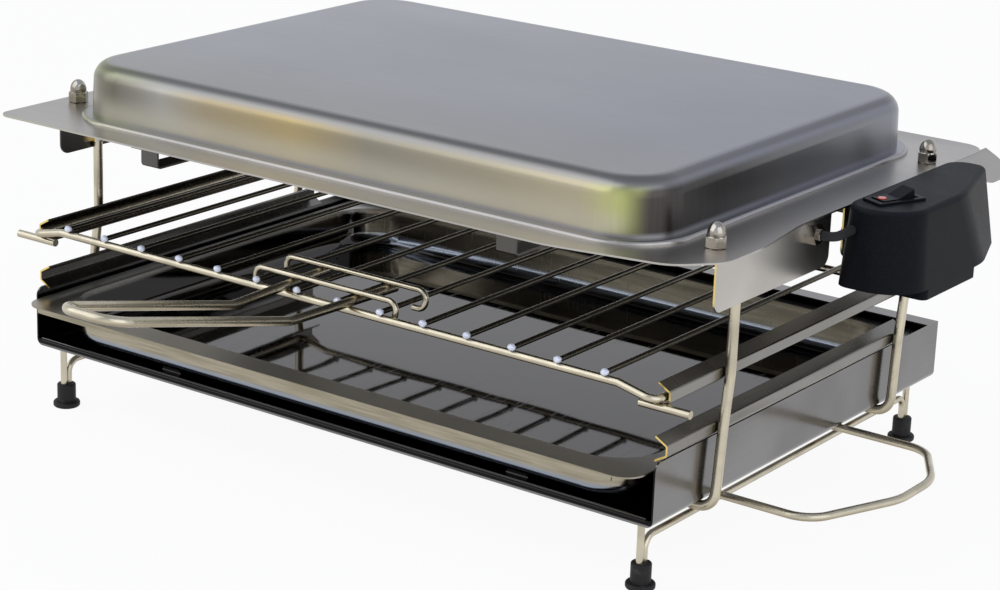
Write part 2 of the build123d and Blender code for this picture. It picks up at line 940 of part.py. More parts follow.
with BuildPart() as cord_bush:
    with BuildSketch(level(box_bottom - block_height)):
        with Locations((block_middle[0], bush_y)):
            Circle(bush_flange / 2)
    extrude(amount=-bush_lip)
    with BuildSketch(level(box_bottom - block_height - bush_lip)):
        with Locations((block_middle[0], bush_y)):
            Circle(bush_neck / 2)
    extrude(amount=bush_lip + lid_sheet)
    fillet(cord_bush.edges().filter_by(GeomType.CIRCLE).group_by(Axis.Z)[0], radius=bush_round)
    with BuildSketch(level(box_bottom - block_height - bush_lip)):
        with Locations((block_middle[0], bush_y)):
            Circle(bush_bore / 2)
    extrude(amount=bush_lip + lid_sheet, mode=Mode.SUBTRACT)
keep(cord_bush, "cord_bush")

# Spacers, screws and nuts that hold the box on the rear right end plate
with BuildPart() as box_spacers:
    with BuildSketch(across(plate_wall)):
        with Locations(*[(y, fixing_z) for y in fixing_y]):
            Circle(spacer_size / 2)
            Circle(screw_size / 2 + seat_gap, mode=Mode.SUBTRACT)
    extrude(amount=box_flat - plate_wall)
keep(box_spacers, "box_spacers")

screw_start = plate_wall - plate_sheet - nut_thickness - bolt_play
with BuildPart() as box_screws:
    with BuildSketch(across(box_flat + box_wall)):
        with Locations(*[(y, fixing_z) for y in fixing_y]):
            Circle(screw_head / 2)
    extrude(amount=screw_head_height)
    fillet(box_screws.faces().filter_by(Axis.X).group_by(Axis.X)[-1].edges(), radius=screw_round)
    with BuildSketch(across(screw_start)):
        with Locations(*[(y, fixing_z) for y in fixing_y]):
            Circle(screw_size / 2)
    extrude(amount=box_flat + box_wall - screw_start)
keep(box_screws, "box_screws")

with BuildPart() as box_nuts:
    with BuildSketch(across(plate_wall - plate_sheet)):
        with Locations(*[(y, fixing_z) for y in fixing_y]):
            RegularPolygon(box_nut_flats / 2, 6, major_radius=False)
            Circle(screw_size / 2 + seat_gap / 2, mode=Mode.SUBTRACT)
    extrude(amount=-nut_thickness)
keep(box_nuts, "box_nuts")

# Rocker switch: rim and body in the cover, rocker on a cross pin
pivot = switch_plane.from_local_coords((0, 0, switch_rim - pivot_depth))
pivot_plane = Plane(origin=pivot, x_dir=switch_plane.x_dir, z_dir=-switch_plane.y_dir)
tilt = radians(rocker_tilt)
rocker_plane = Plane(
    origin=pivot,
    x_dir=switch_plane.x_dir * cos(tilt) + Vector(0, 0, sin(tilt)),
    z_dir=-switch_plane.y_dir,
)

with BuildPart() as switch_body:
    with BuildSketch(switch_plane):
        RectangleRounded(switch_length, switch_width, switch_rim_corner)
    extrude(amount=switch_rim)
    fillet(switch_body.faces().sort_by(Axis.Z)[-1].edges(), radius=switch_rim_round)
    with BuildSketch(switch_plane):
        Rectangle(body_length, body_width)
    extrude(amount=-switch_depth)
    with BuildSketch(switch_plane.offset(switch_rim)):
        Rectangle(opening_length, opening_width)
    extrude(amount=-switch_rim - switch_depth + switch_body_wall, mode=Mode.SUBTRACT)
    with BuildSketch(pivot_plane):
        Circle(pivot_pin / 2)
    extrude(amount=body_width, both=True, mode=Mode.SUBTRACT)
keep(switch_body, "switch_body")

with BuildPart() as rocker:
    with BuildSketch(rocker_plane):
        with BuildLine():
            crest = rocker_vertex + rocker_half * tan(tilt)
            top = Polyline((-rocker_half, crest), (0, rocker_vertex), (rocker_half, crest))
            side_line = Line(top @ 1, (rocker_waist, 0))
            belly = ThreePointArc(side_line @ 1, (0, -rocker_belly), (-rocker_waist, 0))
            Line(belly @ 1, top @ 0)
        make_face()
        Circle(pivot_pin / 2 + seat_gap, mode=Mode.SUBTRACT)
    extrude(amount=rocker_width / 2, both=True)
keep(rocker, "rocker")

with BuildPart() as rocker_pin:
    with BuildSketch(pivot_plane):
        Circle(pivot_pin / 2)
    extrude(amount=body_width / 2, both=True)
keep(rocker_pin, "rocker_pin")

lens_seat = (-lens_place, rocker_vertex + lens_place * tan(tilt), 0)
lens_plane = Plane(
    origin=rocker_plane.from_local_coords(lens_seat),
    x_dir=switch_plane.x_dir,
    z_dir=(0, 0, 1),
)
with BuildPart() as rocker_lens:
    with BuildSketch(lens_plane):
        Circle(lens_size / 2)
    extrude(amount=lens_height)
    fillet(rocker_lens.faces().sort_by(Axis.Z)[-1].edges(), radius=lens_round)
keep(rocker_lens, "rocker_lens")

# Wiring: sleeve from the front end of the element, terminal strip and leads in the box
with BuildPart() as lead_sleeve:
    wire(
        [
            (ferrule_end + seat_gap, -terminal_y, element_level),
            (sleeve_x, -terminal_y, element_level),
            (sleeve_x, sleeve_back, element_level),
        ],
        sleeve_bend,
        sleeve_size,
    )
    with BuildSketch(across(ferrule_end)):
        with Locations((-terminal_y, element_level)):
            Circle(pin_size / 2 + seat_gap / 2)
    extrude(amount=pin_end - ferrule_end + seat_gap, mode=Mode.SUBTRACT)
keep(lead_sleeve, "lead_sleeve")

strip_base = box_bottom + lid_sheet
with BuildPart() as terminal_strip:
    with BuildSketch(level(strip_base)):
        with Locations((strip_x, strip_y)):
            RectangleRounded(strip_width, strip_length, strip_corner)
    extrude(amount=strip_height)
    with BuildSketch(level(strip_base + strip_height)):
        with Locations((strip_x, strip_y)):
            with GridLocations(0, strip_pitch, 1, 3):
                Circle(strip_screw / 2 + seat_gap)
    extrude(amount=-strip_height / 2, mode=Mode.SUBTRACT)
keep(terminal_strip, "terminal_strip")

with BuildPart() as strip_screws:
    with BuildSketch(level(strip_base + strip_height / 2)):
        with Locations((strip_x, strip_y)):
            with GridLocations(0, strip_pitch, 1, 3):
                Circle(strip_screw / 2)
    extrude(amount=strip_height / 2 - strip_recess)
keep(strip_screws, "strip_screws")

front_lead_y = strip_y - strip_pitch
lead_end = strip_base + strip_height + seat_gap
with BuildPart() as box_leads:
    wire(
        [
            (sleeve_x, sleeve_back + seat_gap, element_level),
            (sleeve_x, lead_turn, element_level),
            (sleeve_x, lead_turn, lead_levels[0]),
            (strip_x, front_lead_y, lead_levels[0]),
            (strip_x, front_lead_y, lead_end),
        ],
        lead_bends,
        lead_size,
    )
    wire(
        [
            (pin_end + seat_gap, terminal_y, element_level),
            (sleeve_x + lead_turn, terminal_y, element_level),
            (strip_x, strip_y, lead_levels[1]),
            (strip_x, strip_y, lead_end),
        ],
        lead_bends[1:],
        lead_size,
    )
keep(box_leads, "box_leads")
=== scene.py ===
"""Finishes, fine pieces and studio of the tabletop fish roaster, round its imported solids."""

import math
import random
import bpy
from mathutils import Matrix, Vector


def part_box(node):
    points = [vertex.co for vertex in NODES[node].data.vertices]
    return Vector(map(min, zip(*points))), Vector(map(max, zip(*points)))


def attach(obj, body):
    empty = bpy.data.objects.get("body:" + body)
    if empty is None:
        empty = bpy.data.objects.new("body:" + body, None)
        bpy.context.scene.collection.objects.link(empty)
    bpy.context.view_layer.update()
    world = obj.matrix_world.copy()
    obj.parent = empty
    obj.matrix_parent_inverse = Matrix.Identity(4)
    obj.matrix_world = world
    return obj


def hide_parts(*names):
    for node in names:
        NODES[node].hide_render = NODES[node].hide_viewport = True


bl_info = {
    "name": "Fish Roaster Looks",
    "version": (1, 0, 0),
    "blender": (4, 5, 0),
    "location": "3D View > Sidebar > Roaster",
    "description": "Dresses the packed fish roaster with its finishes, fine pieces and studio",
    "category": "Object",
}

import bmesh
import bpy
from mathutils import Matrix, Vector

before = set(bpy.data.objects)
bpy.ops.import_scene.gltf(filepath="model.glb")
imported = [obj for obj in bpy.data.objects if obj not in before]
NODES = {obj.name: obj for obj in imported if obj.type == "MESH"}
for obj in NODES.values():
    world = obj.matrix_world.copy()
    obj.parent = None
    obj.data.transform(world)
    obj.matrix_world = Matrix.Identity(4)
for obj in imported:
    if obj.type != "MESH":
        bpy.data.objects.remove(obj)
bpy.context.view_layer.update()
MM = 0.001

# Noise stretches: how much longer the grains are along X, Y and Z
EVEN = (1.0, 1.0, 1.0)
ALONG_X = (1.4, 1.0, 1.0)
SHORT_IN_Y = (1.0, 0.02, 1.0)
SHORT_IN_X = (0.03, 1.0, 1.0)

# Tints that more than one finish uses, in linear red, green and blue; all three are painted
# reflections
WARM_REFLECTION_TINT = (0.4, 0.36, 0.28)
EDGE_GOLD_REFLECTION = (0.8, 0.6, 0.2)
LIP_BLACK_REFLECTION = (0.014, 0.013, 0.013)

# Where the photograph was taken from
CAMERA_SPOT = (0.81375, -1.09425, 0.538)
CAMERA_RIGHT = (0.8086, 0.5873, 0.0353)
CAMERA_UP = (-0.2054, 0.2254, 0.9524)
CAMERA_BEHIND = (0.5514, -0.7773, 0.3029)
LENS_LENGTH = 95.08
SENSOR_WIDTH = 36.0

# Studio
LAMP_AIM = (0, 0, 0.1)
KEY_SPOT = (-1.3, -1.7, 1.9)
KEY_SIZE = 3.2
FILL_SPOT = (2.2, -0.6, 1.1)
FILL_SIZE = 2.4
FLOOR_GLOW = 0.93
SKY_STOPS = (
    (0.0, (0.95, 0.95, 0.95, 1.0)),
    (0.2, (0.85, 0.86, 0.88, 1.0)),
    (0.75, (0.5, 0.53, 0.58, 1.0)),
)


class Tap:
    """A number or colour inside a material; arithmetic on it adds Math nodes."""

    def __init__(self, paint, socket):
        self.paint = paint
        self.socket = socket

    def math(self, operation, *values):
        inputs = dict(enumerate(values))
        return self.paint.node("ShaderNodeMath", {"operation": operation}, inputs)

    def __add__(self, other):
        return self.math("ADD", self, other)

    def __radd__(self, other):
        return self.math("ADD", other, self)

    def __sub__(self, other):
        return self.math("SUBTRACT", self, other)

    def __rsub__(self, other):
        return self.math("SUBTRACT", other, self)

    def __mul__(self, other):
        return self.math("MULTIPLY", self, other)

    def __rmul__(self, other):
        return self.math("MULTIPLY", other, self)

    def __truediv__(self, other):
        return self.math("DIVIDE", self, other)

    def between(self, low, high):
        """Smooth 0 to 1 as the value goes from low to high."""
        return self.paint.node(
            "ShaderNodeMapRange",
            {"interpolation_type": "SMOOTHSTEP"},
            {"Value": self, "From Min": low, "From Max": high},
        )


class Paint:
    """One procedural material, written as expressions on its taps."""

    def __init__(self, name):
        self.material = bpy.data.materials.new(name)
        self.material.use_nodes = True
        self.tree = self.material.node_tree
        self.tree.nodes.clear()
        self.output = self.tree.nodes.new("ShaderNodeOutputMaterial")
        self.shader = self.tree.nodes.new("ShaderNodeBsdfPrincipled")
        self.tree.links.new(self.shader.outputs[0], self.output.inputs[0])
        self.place = self.node("ShaderNodeTexCoord", out="Object")
        self.facing = self.node("ShaderNodeTexCoord", out="Normal")

    def node(self, kind, settings=None, values=None, out=0):
        """Any node: its settings first, then the values or links of its sockets."""
        made = self.tree.nodes.new(kind)
        for key, value in (settings or {}).items():
            if key == "stops":
                ramp = made.color_ramp
                ramp.elements.remove(ramp.elements[1])
                for index, (spot, colour) in enumerate(value):
                    stop = ramp.elements[0] if index == 0 else ramp.elements.new(spot)
                    stop.position = spot
                    stop.color = (*colour, 1.0)
            else:
                setattr(made, key, value)
        for key, value in (values or {}).items():
            if isinstance(value, Tap):
                self.tree.links.new(value.socket, made.inputs[key])
            else:
                made.inputs[key].default_value = value
        return Tap(self, made.outputs[out])

    def part(self, vector, axis):
        """One component of a vector tap."""
        return self.node("ShaderNodeSeparateXYZ", None, {0: vector}, out="XYZ".index(axis))

    def mix(self, factor, first, second):
        """Colour that goes from first to second."""
        first = first if isinstance(first, Tap) else (*first, 1.0)
        second = second if isinstance(second, Tap) else (*second, 1.0)
        return self.node(
            "ShaderNodeMix", {"data_type": "RGBA"}, {0: factor, 6: first, 7: second}, out=2
        )

    def ramp(self, value, stops):
        """Colour picked along a ramp by a value from 0 to 1."""
        return self.node("ShaderNodeValToRGB", {"stops": stops}, {0: value})

    def noise(self, size, stretch=EVEN, detail=3.0, rough=0.5):
        """Noise whose grains are about size long, drawn out along the stretch."""
        spot = self.node(
            "ShaderNodeMapping",
            None,
            {"Vector": self.place, "Scale": [1.0 / (size * way) for way in stretch]},
        )
        return self.node(
            "ShaderNodeTexNoise",
            None,
            {"Vector": spot, "Scale": 1.0, "Detail": detail, "Roughness": rough},
        )

    def relief(self, height, depth, under=None):
        """Normal of a surface raised by height, in metres of depth."""
        values = {"Height": height, "Distance": depth, "Strength": 1.0}
        if under:
            values["Normal"] = under
        return self.node("ShaderNodeBump", None, values)

    def finish(self, **sockets):
        """Sets the shader's sockets by name, with underscores for spaces."""
        for key, value in sockets.items():
            name = key.replace("_", " ").title().replace("Ior", "IOR")
            if isinstance(value, Tap):
                self.tree.links.new(value.socket, self.shader.inputs[name])
            elif name.endswith("Color") or name.endswith("Tint"):
                self.shader.inputs[name].default_value = (*value, 1.0)
            else:
                self.shader.inputs[name].default_value = value
        return self.material


def shade(colour, factor):
    """A plain colour made lighter or darker."""
    return tuple(min(1.0, channel * factor) for channel in colour)


def sheet_metal(name, colour, roughness, grain=SHORT_IN_Y, edge=None):
    """Rolled sheet: brush lines, soft clouds, fine scratches and perhaps a front edge with a
    painted gold reflection.
    """
    paint = Paint(name)
    lines = paint.noise(0.04, grain, 4.0, 0.65)
    clouds = paint.noise(0.07, ALONG_X, 2.0)
    marks = paint.noise(0.09, (1.0, 0.015, 0.3), 2.0).between(0.66, 0.7)
    dull = clouds.between(0.3, 0.7)
    wear = paint.mix(dull, shade(colour, 0.88), shade(colour, 1.12))
    tone = paint.mix(lines * 0.35, wear, shade(colour, 0.72))
    if edge:
        # painted reflection: faces that look to the front take the gold edge colour
        front_edge_reflection = paint.part(paint.facing, "Y").between(-0.9, -0.97)
        tone = paint.mix(front_edge_reflection, tone, edge)
    return paint.finish(
        base_color=tone,
        metallic=1.0,
        roughness=lines * 0.12 + clouds * 0.08 + marks * 0.1 + (roughness - 0.1),
        normal=paint.relief(lines * 0.6 + marks * 0.4, 0.012 * MM),
    )


def plated_wire(name, colour, roughness):
    """Bright nickel plating on drawn wire, duller and warmer in patches, with painted shade
    darkening the faces that look down.
    """
    paint = Paint(name)
    clouds = paint.noise(0.018)
    pits = paint.noise(0.0014, detail=2.0)
    # painted shade: faces that look down are darkened and warmed
    low = paint.part(paint.facing, "Z").between(0.25, -0.75)
    tone = paint.mix(clouds.between(0.35, 0.7), colour, shade(colour, 0.8))
    tone = paint.mix(low * 0.8, tone, (colour[0] * 0.34, colour[1] * 0.28, colour[2] * 0.2))
    return paint.finish(
        base_color=tone,
        metallic=1.0,
        roughness=clouds * 0.16 + pits * 0.06 + roughness - 0.08,
        normal=paint.relief(pits, 0.00002),
    )


def weld_finish():
    """Pale, frosted skin of a spot weld, its bluish white a painted highlight."""
    paint = Paint("weld_painted_glint")
    frost = paint.noise(0.0012)
    return paint.finish(
        base_color=paint.mix(frost.between(0.35, 0.65), (0.78, 0.82, 0.95), (0.6, 0.64, 0.78)),
        metallic=0.2,
        roughness=frost * 0.2 + 0.35,
        normal=paint.relief(frost, 0.00005),
    )


def hood_finish(look):
    """Satin stamped steel with painted reflections: a bluish top, straw, olive and green bands
    on the front wall, a dark right wall and a warm grey flange, with painted shade under the
    hood and a painted dark line along the top rounding.
    """
    paint = Paint("hood_satin_steel")
    x = paint.part(paint.place, "X")
    y = paint.part(paint.place, "Y")
    z = paint.part(paint.place, "Z")
    nx = paint.part(paint.facing, "X")
    nz = paint.part(paint.facing, "Z")
    low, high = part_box("hood")
    crown = high.z - 0.012
    wall_foot = high.z - 0.026
    step_top = high.z - 0.0265
    step_foot = high.z - 0.0295
    across = (x - low.x) / (high.x - low.x)
    along = (y - low.y) / (high.y - low.y)
    clouds = paint.noise(0.11, (1.6, 1.0, 1.0), 3.0)
    lines = paint.noise(0.05, SHORT_IN_Y, 4.0, 0.65)
    steel = tuple(look.hood_colour)
    # painted reflection: the top runs from lighter grey at the left to bluish grey at the right,
    # warmer towards the front
    top = paint.ramp(
        across * 0.8 + (1.0 - along) * 0.12 + clouds * 0.16 - 0.06,
        [
            (0.0, shade(steel, 1.2)),
            (0.35, shade(steel, 1.05)),
            (0.75, (0.28, 0.285, 0.34)),
            (1.0, (0.3, 0.31, 0.39)),
        ],
    )
    top = paint.mix(along.between(0.4, 0.0) * 0.7, top, (0.33, 0.32, 0.3))
    glint = across.between(0.24, 0.06) * along.between(0.5, 0.1) * nz.between(0.999, 0.97)
    top = paint.mix(glint, top, (0.38, 0.4, 0.2))
    # painted reflection: bands of straw, olive, green and near-black across the front wall, dark
    # past the right corner
    front = paint.ramp(
        across + (clouds - 0.5) * 0.08,
        [
            (0.05, (0.34, 0.35, 0.28)),
            (0.14, (0.16, 0.15, 0.11)),
            (0.22, (0.36, 0.35, 0.32)),
            (0.3, (0.36, 0.3, 0.19)),
            (0.42, (0.42, 0.33, 0.16)),
            (0.52, (0.27, 0.25, 0.2)),
            (0.66, (0.34, 0.31, 0.23)),
            (0.8, (0.45, 0.4, 0.28)),
            (0.845, (0.5, 0.52, 0.2)),
            (0.868, (0.56, 0.62, 0.18)),
            (0.884, (0.06, 0.055, 0.035)),
            (0.94, (0.1, 0.09, 0.06)),
        ],
    )
    # painted reflection: the lower front wall is a lighter cream, away from the right corner
    foot = z.between(crown, wall_foot) * across.between(0.88, 0.84)
    front = paint.mix(foot * 0.6, front, (0.56, 0.53, 0.44))
    # painted reflection and shade: the right wall is near-black at the front and greyer towards
    # the back
    right = paint.ramp(
        along + (clouds - 0.5) * 0.12,
        [
            (0.05, (0.06, 0.052, 0.045)),
            (0.25, (0.04, 0.037, 0.036)),
            (0.45, (0.14, 0.14, 0.145)),
            (0.8, (0.22, 0.23, 0.26)),
        ],
    )
    wall_reflection = paint.mix(nx.between(0.35, 0.8), front, right)
    upright = nz.between(0.75, 0.3)
    raised = z.between(step_foot, step_top)
    # painted reflection: a dark line along the top rounding
    edge = nz.between(0.99, 0.93) * nz.between(0.6, 0.85) * raised
    tone = paint.mix(upright * raised, top, wall_reflection)
    tone = paint.mix(edge * 0.45, tone, (0.1, 0.09, 0.075))
    rim = 1.0 - z.between(high.z - 0.0335, high.z - 0.028)
    # painted reflection: the flange is a lighter, warmer grey than the top
    flange = paint.mix(clouds.between(0.4, 0.65), (0.56, 0.53, 0.49), (0.42, 0.4, 0.375))
    tone = paint.mix(rim * 0.85, tone, flange)
    # painted shade: faces that look down, under the hood, are darkened
    under = nz.between(-0.2, -0.6)
    tone = paint.mix(under, tone, (0.16, 0.15, 0.14))
    tone = paint.mix(lines * 0.25, tone, shade(steel, 0.55))
    return paint.finish(
        base_color=tone,
        metallic=1.0,
        roughness=lines * 0.1 + clouds * 0.1 + 0.22,
        normal=paint.relief(lines * 0.5 + clouds * 4.0, 0.02 * MM),
    )


def tray_finish(look):
    """Mirror-polished pan with faint waves, wiping marks and thin scratches, a painted pale
    highlight on its rim and painted straw and blue-grey reflections on its outer wall.
    """
    paint = Paint("tray_mirror_steel")
    z = paint.part(paint.place, "Z")
    waves = paint.noise(0.06, (1.5, 1.0, 1.0), 1.0)
    wipes = paint.noise(0.05, (1.0, 0.08, 1.0), 3.0)
    scratches = paint.noise(0.06, (0.012, 1.0, 1.0), 2.0).between(0.68, 0.71)
    low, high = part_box("drip_tray")
    rim = z.between(high.z - 4 * MM, high.z - 1 * MM)
    # painted shade: the tray steel is darkened far below polished steel, standing for the dark
    # it mirrors
    steel = tuple(look.tray_shaded_colour)
    # painted highlight: the rim band is a pale grey
    tone = paint.mix(rim, steel, (0.5, 0.49, 0.47))
    # painted reflection: the outer wall is streaked warm straw above and blue-grey lower down
    streaks = paint.noise(0.05, (0.6, 1.0, 0.03), 4.0)
    drop = z.between(high.z - 14 * MM, low.z + 6 * MM)
    upper = paint.mix(streaks.between(0.35, 0.65), WARM_REFLECTION_TINT, (0.3, 0.27, 0.2))
    outer_wall_reflection = paint.mix(drop, upper, (0.27, 0.31, 0.38))
    front = paint.part(paint.place, "Y").between(low.y + 30 * MM, low.y + 12 * MM)
    # painted reflection: the front of the rim takes the warm straw tint
    tone = paint.mix(rim * front * 0.8, tone, shade(WARM_REFLECTION_TINT, 0.9))
    outside = paint.part(paint.facing, "Y").between(-0.5, -0.85)
    tone = paint.mix(outside, tone, outer_wall_reflection)
    tone = paint.mix(wipes * 0.15, tone, (0.1, 0.09, 0.08))
    return paint.finish(
        base_color=tone,
        metallic=1.0,
        roughness=wipes * 0.03 + scratches * 0.1 + rim * 0.28 + outside * 0.14 + 0.02,
        normal=paint.relief(waves * 6.0 + scratches * 0.1, 0.03 * MM),
    )


def base_finish(look):
    """Polished folded steel, with a painted black reflection on its front lip standing for the
    dark under the tray.
    """
    paint = Paint("base_steel")
    z = paint.part(paint.place, "Z")
    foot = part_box("base_housing")[0].z
    colour = tuple(look.base_colour)
    lines = paint.noise(0.04, (1.0, 1.0, 0.02), 4.0, 0.65)
    clouds = paint.noise(0.07, ALONG_X, 2.0)
    tone = paint.mix(clouds.between(0.3, 0.7), shade(colour, 0.8), shade(colour, 1.2))
    tone = paint.mix(lines * 0.3, tone, shade(colour, 0.7))
    # painted reflection: the front lip is painted near-black
    lip = paint.part(paint.facing, "Y").between(-0.6, -0.9)
    lip = lip * z.between(foot + 0.8 * MM, foot + 1.6 * MM)
    return paint.finish(
        base_color=paint.mix(lip, tone, LIP_BLACK_REFLECTION),
        metallic=1.0,
        roughness=lines * 0.1 + clouds * 0.08 + 0.08,
        normal=paint.relief(lines, 0.006 * MM),
    )


def element_finish():
    """Dark heat-tinted sheath with a dusty oxide."""
    paint = Paint("element_oxide")
    dust = paint.noise(0.004, detail=4.0)
    clouds = paint.noise(0.03)
    tone = paint.mix(clouds.between(0.35, 0.7), (0.09, 0.075, 0.06), (0.2, 0.17, 0.14))
    return paint.finish(
        base_color=tone,
        metallic=0.6,
        roughness=dust * 0.2 + 0.45,
        normal=paint.relief(dust, 0.00008),
    )


def moulded_plastic(name, colour, roughness, grain, depth):
    """Moulded plastic with the fine spark texture of its tool, and a painted sheen that lightens
    faces looking up.
    """
    paint = Paint(name)
    cells = paint.node(
        "ShaderNodeTexVoronoi",
        {"feature": "SMOOTH_F1"},
        {"Vector": paint.place, "Scale": 1.0 / grain, "Smoothness": 0.6},
    )
    specks = paint.noise(grain * 2.2)
    clouds = paint.noise(0.03)
    # painted highlight: faces that look up are painted lighter
    up = paint.part(paint.facing, "Z").between(0.2, 0.9)
    tone = paint.mix(specks.between(0.35, 0.75), shade(colour, 0.85), shade(colour, 1.25))
    tone = paint.mix(up * 0.6, tone, shade(colour, 2.6))
    return paint.finish(
        specular_ior_level=0.07,
        base_color=tone,
        roughness=specks * 0.14 + clouds * 0.08 + roughness - 0.1,
        normal=paint.relief(cells * 0.5 + specks * 0.5, depth),
    )


def soft_rubber(look):
    """Black rubber, dusty where it is touched."""
    paint = Paint("black_rubber")
    dust = paint.noise(0.006, detail=4.0)
    grain = paint.noise(0.0008)
    colour = tuple(look.rubber_colour)
    tone = paint.mix(dust.between(0.5, 0.75) * 0.5, colour, (0.07, 0.068, 0.065))
    return paint.finish(
        specular_ior_level=0.25,
        base_color=tone,
        roughness=dust * 0.2 + 0.5,
        normal=paint.relief(grain, 0.00005),
    )


def lens_finish(look):
    """Red lens of the switch with a faint haze."""
    paint = Paint("red_lens")
    haze = paint.noise(0.002)
    colour = tuple(look.lens_colour)
    return paint.finish(
        base_color=paint.mix(haze.between(0.3, 0.7), colour, shade(colour, 1.4)),
        roughness=haze * 0.1 + 0.15,
        coat_weight=0.6,
        normal=paint.relief(haze, 0.00003),
    )


def chrome_finish():
    """Bright chrome with tiny pits, with painted shade making it warmer and darker on its sides.
    """
    paint = Paint("bright_chrome")
    pits = paint.noise(0.0012)
    clouds = paint.noise(0.008)
    # painted shade: faces that turn sideways are darkened and warmed
    side = paint.part(paint.facing, "Z").between(0.5, 0.05)
    tone = paint.mix(clouds.between(0.4, 0.65), (0.5, 0.48, 0.45), (0.34, 0.31, 0.27))
    return paint.finish(
        base_color=paint.mix(side * 0.5, tone, (0.2, 0.17, 0.12)),
        metallic=1.0,
        roughness=pits * 0.1 + clouds * 0.1 + 0.04,
        normal=paint.relief(pits, 0.00001),
    )


def braided_sleeve():
    """Woven glass sleeve of the leads."""
    paint = Paint("woven_sleeve")
    weave = paint.node(
        "ShaderNodeTexWave",
        {"wave_type": "BANDS", "bands_direction": "DIAGONAL"},
        {"Vector": paint.place, "Scale": 600.0, "Distortion": 1.0},
        out=1,
    )
    soil = paint.noise(0.01)
    tone = paint.mix(weave * 0.4 + soil * 0.3, (0.03, 0.03, 0.032), (0.008, 0.008, 0.009))
    return paint.finish(
        base_color=tone,
        specular_ior_level=0.2,
        roughness=weave * 0.2 + 0.5,
        normal=paint.relief(weave, 0.0001),
    )


def dress(material, *names):
    """Gives CAD nodes a material."""
    for name in names:
        data = NODES[name].data
        data.materials.clear()
        data.materials.append(material)


def settle(mesh, name, material, body):
    """Turns a finished bmesh into a piece that rides on a body."""
    bmesh.ops.recalc_face_normals(mesh, faces=mesh.faces)
    data = bpy.data.meshes.new(name)
    mesh.to_mesh(data)
    mesh.free()
    data.materials.append(material)
    for face in data.polygons:
        face.use_smooth = True
    data.set_sharp_from_angle(angle=math.radians(38))
    piece = bpy.data.objects.new(name, data)
    bpy.context.scene.collection.objects.link(piece)
    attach(piece, body)
    return piece


def hexagon_radius(flats, turn):
    """Distance from the middle of a hexagon to its side in one direction."""
    sector = math.pi / 3
    return flats / 2 / math.cos((turn % sector) - sector / 2)


def turned(mesh, centre, rings, flats, steps=48):
    """Adds a turned piece with an upright axis; rings are height, radius and hexagon."""
    loops = []
    for height, radius, angled in rings:
        loop = []
        for step in range(steps):
            turn = 2 * math.pi * step / steps
            reach = min(radius, hexagon_radius(flats, turn)) if angled else radius
            spot = Vector((reach * math.cos(turn), reach * math.sin(turn), height))
            loop.append(mesh.verts.new(centre + spot))
        loops.append(loop)
    for lower, upper in zip(loops, loops[1:]):
        for step in range(steps):
            after = (step + 1) % steps
            mesh.faces.new((lower[step], lower[after], upper[after], upper[step]))
    mesh.faces.new(reversed(loops[0]))
    mesh.faces.new(loops[-1])


def bead(mesh, centre, radii, wobble, chance):
    """Adds a small flattened bead of weld metal with an uneven skin."""
    made = bmesh.ops.create_icosphere(mesh, subdivisions=2, radius=1.0)
    for vert in made["verts"]:
        swell = 1.0 + wobble * (chance.random() - 0.5)
        vert.co = centre + Vector([vert.co[i] * radii[i] * swell for i in range(3)])


def solid_islands(name):
    """Lowest and highest corners of each separate solid in a CAD node."""
    mesh = bmesh.new()
    mesh.from_mesh(NODES[name].data)
    bmesh.ops.remove_doubles(mesh, verts=mesh.verts, dist=0.00001)
    left = set(mesh.verts)
    found = []
    while left:
        stack = [left.pop()]
        members = []
        while stack:
            vert = stack.pop()
            members.append(vert.co.copy())
            for edge in vert.link_edges:
                other = edge.other_vert(vert)
                if other in left:
                    left.remove(other)
                    stack.append(other)
        low = Vector([min(spot[i] for spot in members) for i in range(3)])
        high = Vector([max(spot[i] for spot in members) for i in range(3)])
        found.append((low, high))
    mesh.free()
    return sorted(found, key=lambda pair: (round(pair[0].x, 4), round(pair[0].y, 4)))


class RoasterFinishes(bpy.types.PropertyGroup):
    """Colours and gloss of the roaster's finishes."""

    hood_colour: bpy.props.FloatVectorProperty(
        name="Hood steel", description="Satin steel of the hood", subtype="COLOR", size=3,
        min=0.0, max=1.0, default=(0.32, 0.335, 0.37),
    )
    plate_colour: bpy.props.FloatVectorProperty(
        name="Plate steel", description="Sheet steel of plates and rails", subtype="COLOR",
        size=3, min=0.0, max=1.0, default=(0.5, 0.48, 0.45),
    )
    base_colour: bpy.props.FloatVectorProperty(
        name="Base steel", description="Polished steel of the base", subtype="COLOR", size=3,
        min=0.0, max=1.0, default=(0.2, 0.195, 0.195),
    )
    # painted shade: darkened mirror steel, standing for the dark the tray mirrors
    tray_shaded_colour: bpy.props.FloatVectorProperty(
        name="Tray steel", description="Mirror-polished steel of the drip tray", subtype="COLOR",
        size=3, min=0.0, max=1.0, default=(0.07, 0.067, 0.067),
    )
    wire_colour: bpy.props.FloatVectorProperty(
        name="Wire plating", description="Warm nickel plating of the wires", subtype="COLOR",
        size=3, min=0.0, max=1.0, default=(0.62, 0.57, 0.45),
    )
    cover_colour: bpy.props.FloatVectorProperty(
        name="Switch box", description="Black plastic of the switch box", subtype="COLOR",
        size=3, min=0.0, max=1.0, default=(0.0055, 0.006, 0.0085),
    )
    rubber_colour: bpy.props.FloatVectorProperty(
        name="Rubber", description="Black rubber of feet and bumpers", subtype="COLOR", size=3,
        min=0.0, max=1.0, default=(0.012, 0.012, 0.013),
    )
    lens_colour: bpy.props.FloatVectorProperty(
        name="Lens", description="Red lens in the rocker", subtype="COLOR", size=3,
        min=0.0, max=1.0, default=(0.5, 0.07, 0.05),
    )
    wire_roughness: bpy.props.FloatProperty(
        name="Wire roughness", description="How dull the plating is", subtype="FACTOR",
        min=0.0, max=1.0, default=0.24,
    )


